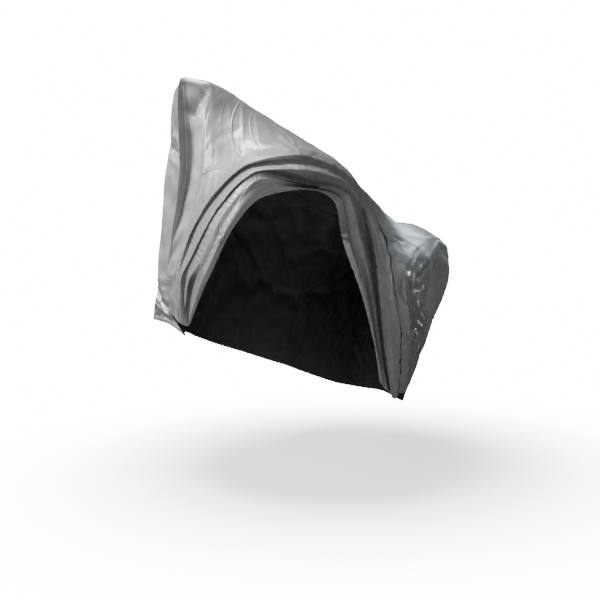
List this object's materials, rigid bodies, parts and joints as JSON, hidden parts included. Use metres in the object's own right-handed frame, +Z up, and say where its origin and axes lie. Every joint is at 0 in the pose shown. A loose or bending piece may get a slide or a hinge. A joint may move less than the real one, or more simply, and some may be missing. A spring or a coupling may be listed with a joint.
{
  "type": "fitted vehicle cover, half lifted off",
  "caption": "Fitted weather cover of thin coated cloth for a two-wheeled vehicle, its front edge lifted and bunched, its rear still over the tail.",
  "frame": {"origin": "the place under the top, above the middle of the vehicle, where what the cover hangs on holds it; 860 mm above the ground", "axes": "+Z up, +Y to the rear of the vehicle, +X to the left of the vehicle"},
  "size_m": [0.693, 1.5601, 1.3072],
  "materials": {
    "silver_cloth": "coated, satin sheen"
  },
  "bodies": {
    "root": {"left_panel": "silver_cloth", "top_strip": "silver_cloth", "right_panel": "silver_cloth"}
  },
  "joints": []
}
